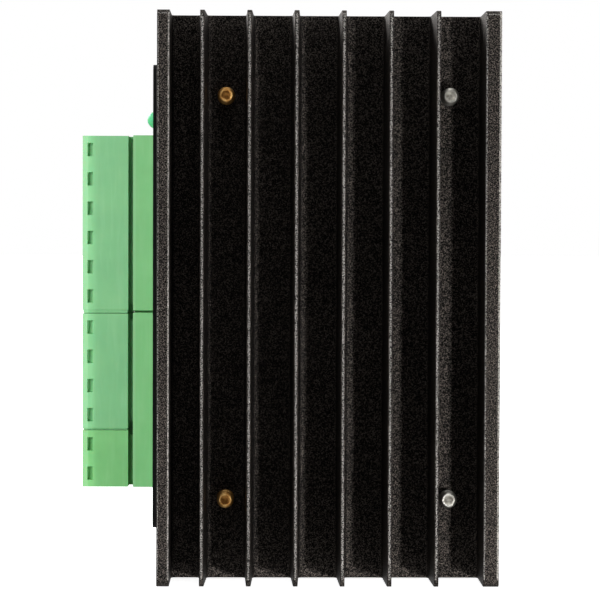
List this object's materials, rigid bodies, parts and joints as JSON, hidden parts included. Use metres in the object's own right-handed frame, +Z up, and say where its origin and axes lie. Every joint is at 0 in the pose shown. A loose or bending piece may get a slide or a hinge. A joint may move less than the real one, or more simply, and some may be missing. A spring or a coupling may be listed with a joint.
{
  "type": "stepper driver module",
  "caption": "Motor driver module with a finned black heat sink, a moulded cover and pluggable screw terminals along one side",
  "frame": {"origin": "middle of the bottom of the bounding box, on the surface that the module's lower end stands on", "axes": "+Z up along the heat sink's fins, +Y from the fin tips to the labelled front, +X away from the terminals"},
  "size_m": [0.072, 0.0358, 0.096],
  "materials": {
    "black_anodised": "satin",
    "black_plastic": "matte",
    "label_film": "satin",
    "board_green": "satin",
    "brass": "satin",
    "nickel": "satin",
    "zinc_steel": "satin",
    "terminal_green": "satin",
    "chip_black": "matte",
    "pad_grey": "matte",
    "sleeve_black": "gloss",
    "lens_green": "gloss",
    "switch_red": "satin",
    "slider_white": "satin"
  },
  "bodies": {
    "module": {"capacitor_1": "sleeve_black", "capacitor_2": "sleeve_black", "circuit_board": "board_green", "cover_screw_1": "zinc_steel", "cover_screw_2": "zinc_steel", "cover_screw_3": "zinc_steel", "cover_screw_4": "zinc_steel", "driver_chip": "chip_black", "front_cover": "black_plastic", "front_label": "label_film", "header_1": "terminal_green", "header_2": "terminal_green", "heat_sink": "black_anodised", "optocoupler_1": "chip_black", "optocoupler_2": "chip_black", "optocoupler_3": "chip_black", "power_led": "lens_green", "standoff_lower_1": "brass", "standoff_lower_2": "brass", "standoff_lower_3": "nickel", "standoff_lower_4": "nickel", "standoff_upper_1": "brass", "standoff_upper_2": "brass", "standoff_upper_3": "nickel", "standoff_upper_4": "nickel", "switch_housing": "switch_red", "thermal_pad": "pad_grey"},
    "plug_signal_body": {"plug_signal": "terminal_green"},
    "clamp_screw_1_body": {"clamp_screw_1": "zinc_steel"},
    "wire_cage_1_body": {"wire_cage_1": "zinc_steel"},
    "clamp_screw_2_body": {"clamp_screw_2": "zinc_steel"},
    "wire_cage_2_body": {"wire_cage_2": "zinc_steel"},
    "clamp_screw_3_body": {"clamp_screw_3": "zinc_steel"},
    "wire_cage_3_body": {"wire_cage_3": "zinc_steel"},
    "clamp_screw_4_body": {"clamp_screw_4": "zinc_steel"},
    "wire_cage_4_body": {"wire_cage_4": "zinc_steel"},
    "clamp_screw_5_body": {"clamp_screw_5": "zinc_steel"},
    "wire_cage_5_body": {"wire_cage_5": "zinc_steel"},
    "clamp_screw_6_body": {"clamp_screw_6": "zinc_steel"},
    "wire_cage_6_body": {"wire_cage_6": "zinc_steel"},
    "plug_motor_body": {"plug_motor": "terminal_green"},
    "clamp_screw_7_body": {"clamp_screw_7": "zinc_steel"},
    "wire_cage_7_body": {"wire_cage_7": "zinc_steel"},
    "clamp_screw_8_body": {"clamp_screw_8": "zinc_steel"},
    "wire_cage_8_body": {"wire_cage_8": "zinc_steel"},
    "clamp_screw_9_body": {"clamp_screw_9": "zinc_steel"},
    "wire_cage_9_body": {"wire_cage_9": "zinc_steel"},
    "clamp_screw_10_body": {"clamp_screw_10": "zinc_steel"},
    "wire_cage_10_body": {"wire_cage_10": "zinc_steel"},
    "plug_power_body": {"plug_power": "terminal_green"},
    "clamp_screw_11_body": {"clamp_screw_11": "zinc_steel"},
    "wire_cage_11_body": {"wire_cage_11": "zinc_steel"},
    "clamp_screw_12_body": {"clamp_screw_12": "zinc_steel"},
    "wire_cage_12_body": {"wire_cage_12": "zinc_steel"},
    "switch_slider_1_body": {"switch_slider_1": "slider_white"},
    "switch_slider_2_body": {"switch_slider_2": "slider_white"},
    "switch_slider_3_body": {"switch_slider_3": "slider_white"},
    "switch_slider_4_body": {"switch_slider_4": "slider_white"},
    "switch_slider_5_body": {"switch_slider_5": "slider_white"},
    "switch_slider_6_body": {"switch_slider_6": "slider_white"}
  },
  "joints": [
    {"name": "plug_signal_pull", "type": "slide", "parent": "module", "child": "plug_signal_body", "axis": [-1, 0, 0], "range_m": [0, 0.012]},
    {"name": "clamp_screw_1_turn", "type": "hinge", "parent": "plug_signal_body", "child": "clamp_screw_1_body", "pos_m": [-0.03213, 0.00945, 0.0734], "axis": [0, -1, 0], "range_deg": [0, 1440]},
    {"name": "wire_cage_1_rise", "type": "slide", "parent": "plug_signal_body", "child": "wire_cage_1_body", "axis": [0, 1, 0], "range_m": [0, 0.002]},
    {"name": "clamp_screw_2_turn", "type": "hinge", "parent": "plug_signal_body", "child": "clamp_screw_2_body", "pos_m": [-0.03213, 0.00945, 0.06832], "axis": [0, -1, 0], "range_deg": [0, 1440]},
    {"name": "wire_cage_2_rise", "type": "slide", "parent": "plug_signal_body", "child": "wire_cage_2_body", "axis": [0, 1, 0], "range_m": [0, 0.002]},
    {"name": "clamp_screw_3_turn", "type": "hinge", "parent": "plug_signal_body", "child": "clamp_screw_3_body", "pos_m": [-0.03213, 0.00945, 0.06324], "axis": [0, -1, 0], "range_deg": [0, 1440]},
    {"name": "wire_cage_3_rise", "type": "slide", "parent": "plug_signal_body", "child": "wire_cage_3_body", "axis": [0, 1, 0], "range_m": [0, 0.002]},
    {"name": "clamp_screw_4_turn", "type": "hinge", "parent": "plug_signal_body", "child": "clamp_screw_4_body", "pos_m": [-0.03213, 0.00945, 0.05817], "axis": [0, -1, 0], "range_deg": [0, 1440]},
    {"name": "wire_cage_4_rise", "type": "slide", "parent": "plug_signal_body", "child": "wire_cage_4_body", "axis": [0, 1, 0], "range_m": [0, 0.002]},
    {"name": "clamp_screw_5_turn", "type": "hinge", "parent": "plug_signal_body", "child": "clamp_screw_5_body", "pos_m": [-0.03213, 0.00945, 0.05309], "axis": [0, -1, 0], "range_deg": [0, 1440]},
    {"name": "wire_cage_5_rise", "type": "slide", "parent": "plug_signal_body", "child": "wire_cage_5_body", "axis": [0, 1, 0], "range_m": [0, 0.002]},
    {"name": "clamp_screw_6_turn", "type": "hinge", "parent": "plug_signal_body", "child": "clamp_screw_6_body", "pos_m": [-0.03213, 0.00945, 0.048], "axis": [0, -1, 0], "range_deg": [0, 1440]},
    {"name": "wire_cage_6_rise", "type": "slide", "parent": "plug_signal_body", "child": "wire_cage_6_body", "axis": [0, 1, 0], "range_m": [0, 0.002]},
    {"name": "plug_motor_pull", "type": "slide", "parent": "module", "child": "plug_motor_body", "axis": [-1, 0, 0], "range_m": [0, 0.012]},
    {"name": "clamp_screw_7_turn", "type": "hinge", "parent": "plug_motor_body", "child": "clamp_screw_7_body", "pos_m": [-0.03213, 0.00945, 0.0426], "axis": [0, -1, 0], "range_deg": [0, 1440]},
    {"name": "wire_cage_7_rise", "type": "slide", "parent": "plug_motor_body", "child": "wire_cage_7_body", "axis": [0, 1, 0], "range_m": [0, 0.002]},
    {"name": "clamp_screw_8_turn", "type": "hinge", "parent": "plug_motor_body", "child": "clamp_screw_8_body", "pos_m": [-0.03213, 0.00945, 0.03751], "axis": [0, -1, 0], "range_deg": [0, 1440]},
    {"name": "wire_cage_8_rise", "type": "slide", "parent": "plug_motor_body", "child": "wire_cage_8_body", "axis": [0, 1, 0], "range_m": [0, 0.002]},
    {"name": "clamp_screw_9_turn", "type": "hinge", "parent": "plug_motor_body", "child": "clamp_screw_9_body", "pos_m": [-0.03213, 0.00945, 0.03243], "axis": [0, -1, 0], "range_deg": [0, 1440]},
    {"name": "wire_cage_9_rise", "type": "slide", "parent": "plug_motor_body", "child": "wire_cage_9_body", "axis": [0, 1, 0], "range_m": [0, 0.002]},
    {"name": "clamp_screw_10_turn", "type": "hinge", "parent": "plug_motor_body", "child": "clamp_screw_10_body", "pos_m": [-0.03213, 0.00945, 0.02736], "axis": [0, -1, 0], "range_deg": [0, 1440]},
    {"name": "wire_cage_10_rise", "type": "slide", "parent": "plug_motor_body", "child": "wire_cage_10_body", "axis": [0, 1, 0], "range_m": [0, 0.002]},
    {"name": "plug_power_pull", "type": "slide", "parent": "module", "child": "plug_power_body", "axis": [-1, 0, 0], "range_m": [0, 0.012]},
    {"name": "clamp_screw_11_turn", "type": "hinge", "parent": "plug_power_body", "child": "clamp_screw_11_body", "pos_m": [-0.03213, 0.00945, 0.02227], "axis": [0, -1, 0], "range_deg": [0, 1440]},
    {"name": "wire_cage_11_rise", "type": "slide", "parent": "plug_power_body", "child": "wire_cage_11_body", "axis": [0, 1, 0], "range_m": [0, 0.002]},
    {"name": "clamp_screw_12_turn", "type": "hinge", "parent": "plug_power_body", "child": "clamp_screw_12_body", "pos_m": [-0.03213, 0.00945, 0.01719], "axis": [0, -1, 0], "range_deg": [0, 1440]},
    {"name": "wire_cage_12_rise", "type": "slide", "parent": "plug_power_body", "child": "wire_cage_12_body", "axis": [0, 1, 0], "range_m": [0, 0.002]},
    {"name": "switch_slider_1_slide", "type": "slide", "parent": "module", "child": "switch_slider_1_body", "axis": [0, 1, 0], "range_m": [0, 0.0018]},
    {"name": "switch_slider_2_slide", "type": "slide", "parent": "module", "child": "switch_slider_2_body", "axis": [0, 1, 0], "range_m": [-0.0018, 0]},
    {"name": "switch_slider_3_slide", "type": "slide", "parent": "module", "child": "switch_slider_3_body", "axis": [0, 1, 0], "range_m": [0, 0.0018]},
    {"name": "switch_slider_4_slide", "type": "slide", "parent": "module", "child": "switch_slider_4_body", "axis": [0, 1, 0], "range_m": [0, 0.0018]},
    {"name": "switch_slider_5_slide", "type": "slide", "parent": "module", "child": "switch_slider_5_body", "axis": [0, 1, 0], "range_m": [-0.0018, 0]},
    {"name": "switch_slider_6_slide", "type": "slide", "parent": "module", "child": "switch_slider_6_body", "axis": [0, 1, 0], "range_m": [-0.0018, 0]}
  ],
  "couplings": [
    {"joint": "clamp_screw_1_turn", "follows": "wire_cage_1_rise", "rad_per_m": 12566},
    {"joint": "clamp_screw_2_turn", "follows": "wire_cage_2_rise", "rad_per_m": 12566},
    {"joint": "clamp_screw_3_turn", "follows": "wire_cage_3_rise", "rad_per_m": 12566},
    {"joint": "clamp_screw_4_turn", "follows": "wire_cage_4_rise", "rad_per_m": 12566},
    {"joint": "clamp_screw_5_turn", "follows": "wire_cage_5_rise", "rad_per_m": 12566},
    {"joint": "clamp_screw_6_turn", "follows": "wire_cage_6_rise", "rad_per_m": 12566},
    {"joint": "clamp_screw_7_turn", "follows": "wire_cage_7_rise", "rad_per_m": 12566},
    {"joint": "clamp_screw_8_turn", "follows": "wire_cage_8_rise", "rad_per_m": 12566},
    {"joint": "clamp_screw_9_turn", "follows": "wire_cage_9_rise", "rad_per_m": 12566},
    {"joint": "clamp_screw_10_turn", "follows": "wire_cage_10_rise", "rad_per_m": 12566},
    {"joint": "clamp_screw_11_turn", "follows": "wire_cage_11_rise", "rad_per_m": 12566},
    {"joint": "clamp_screw_12_turn", "follows": "wire_cage_12_rise", "rad_per_m": 12566}
  ]
}
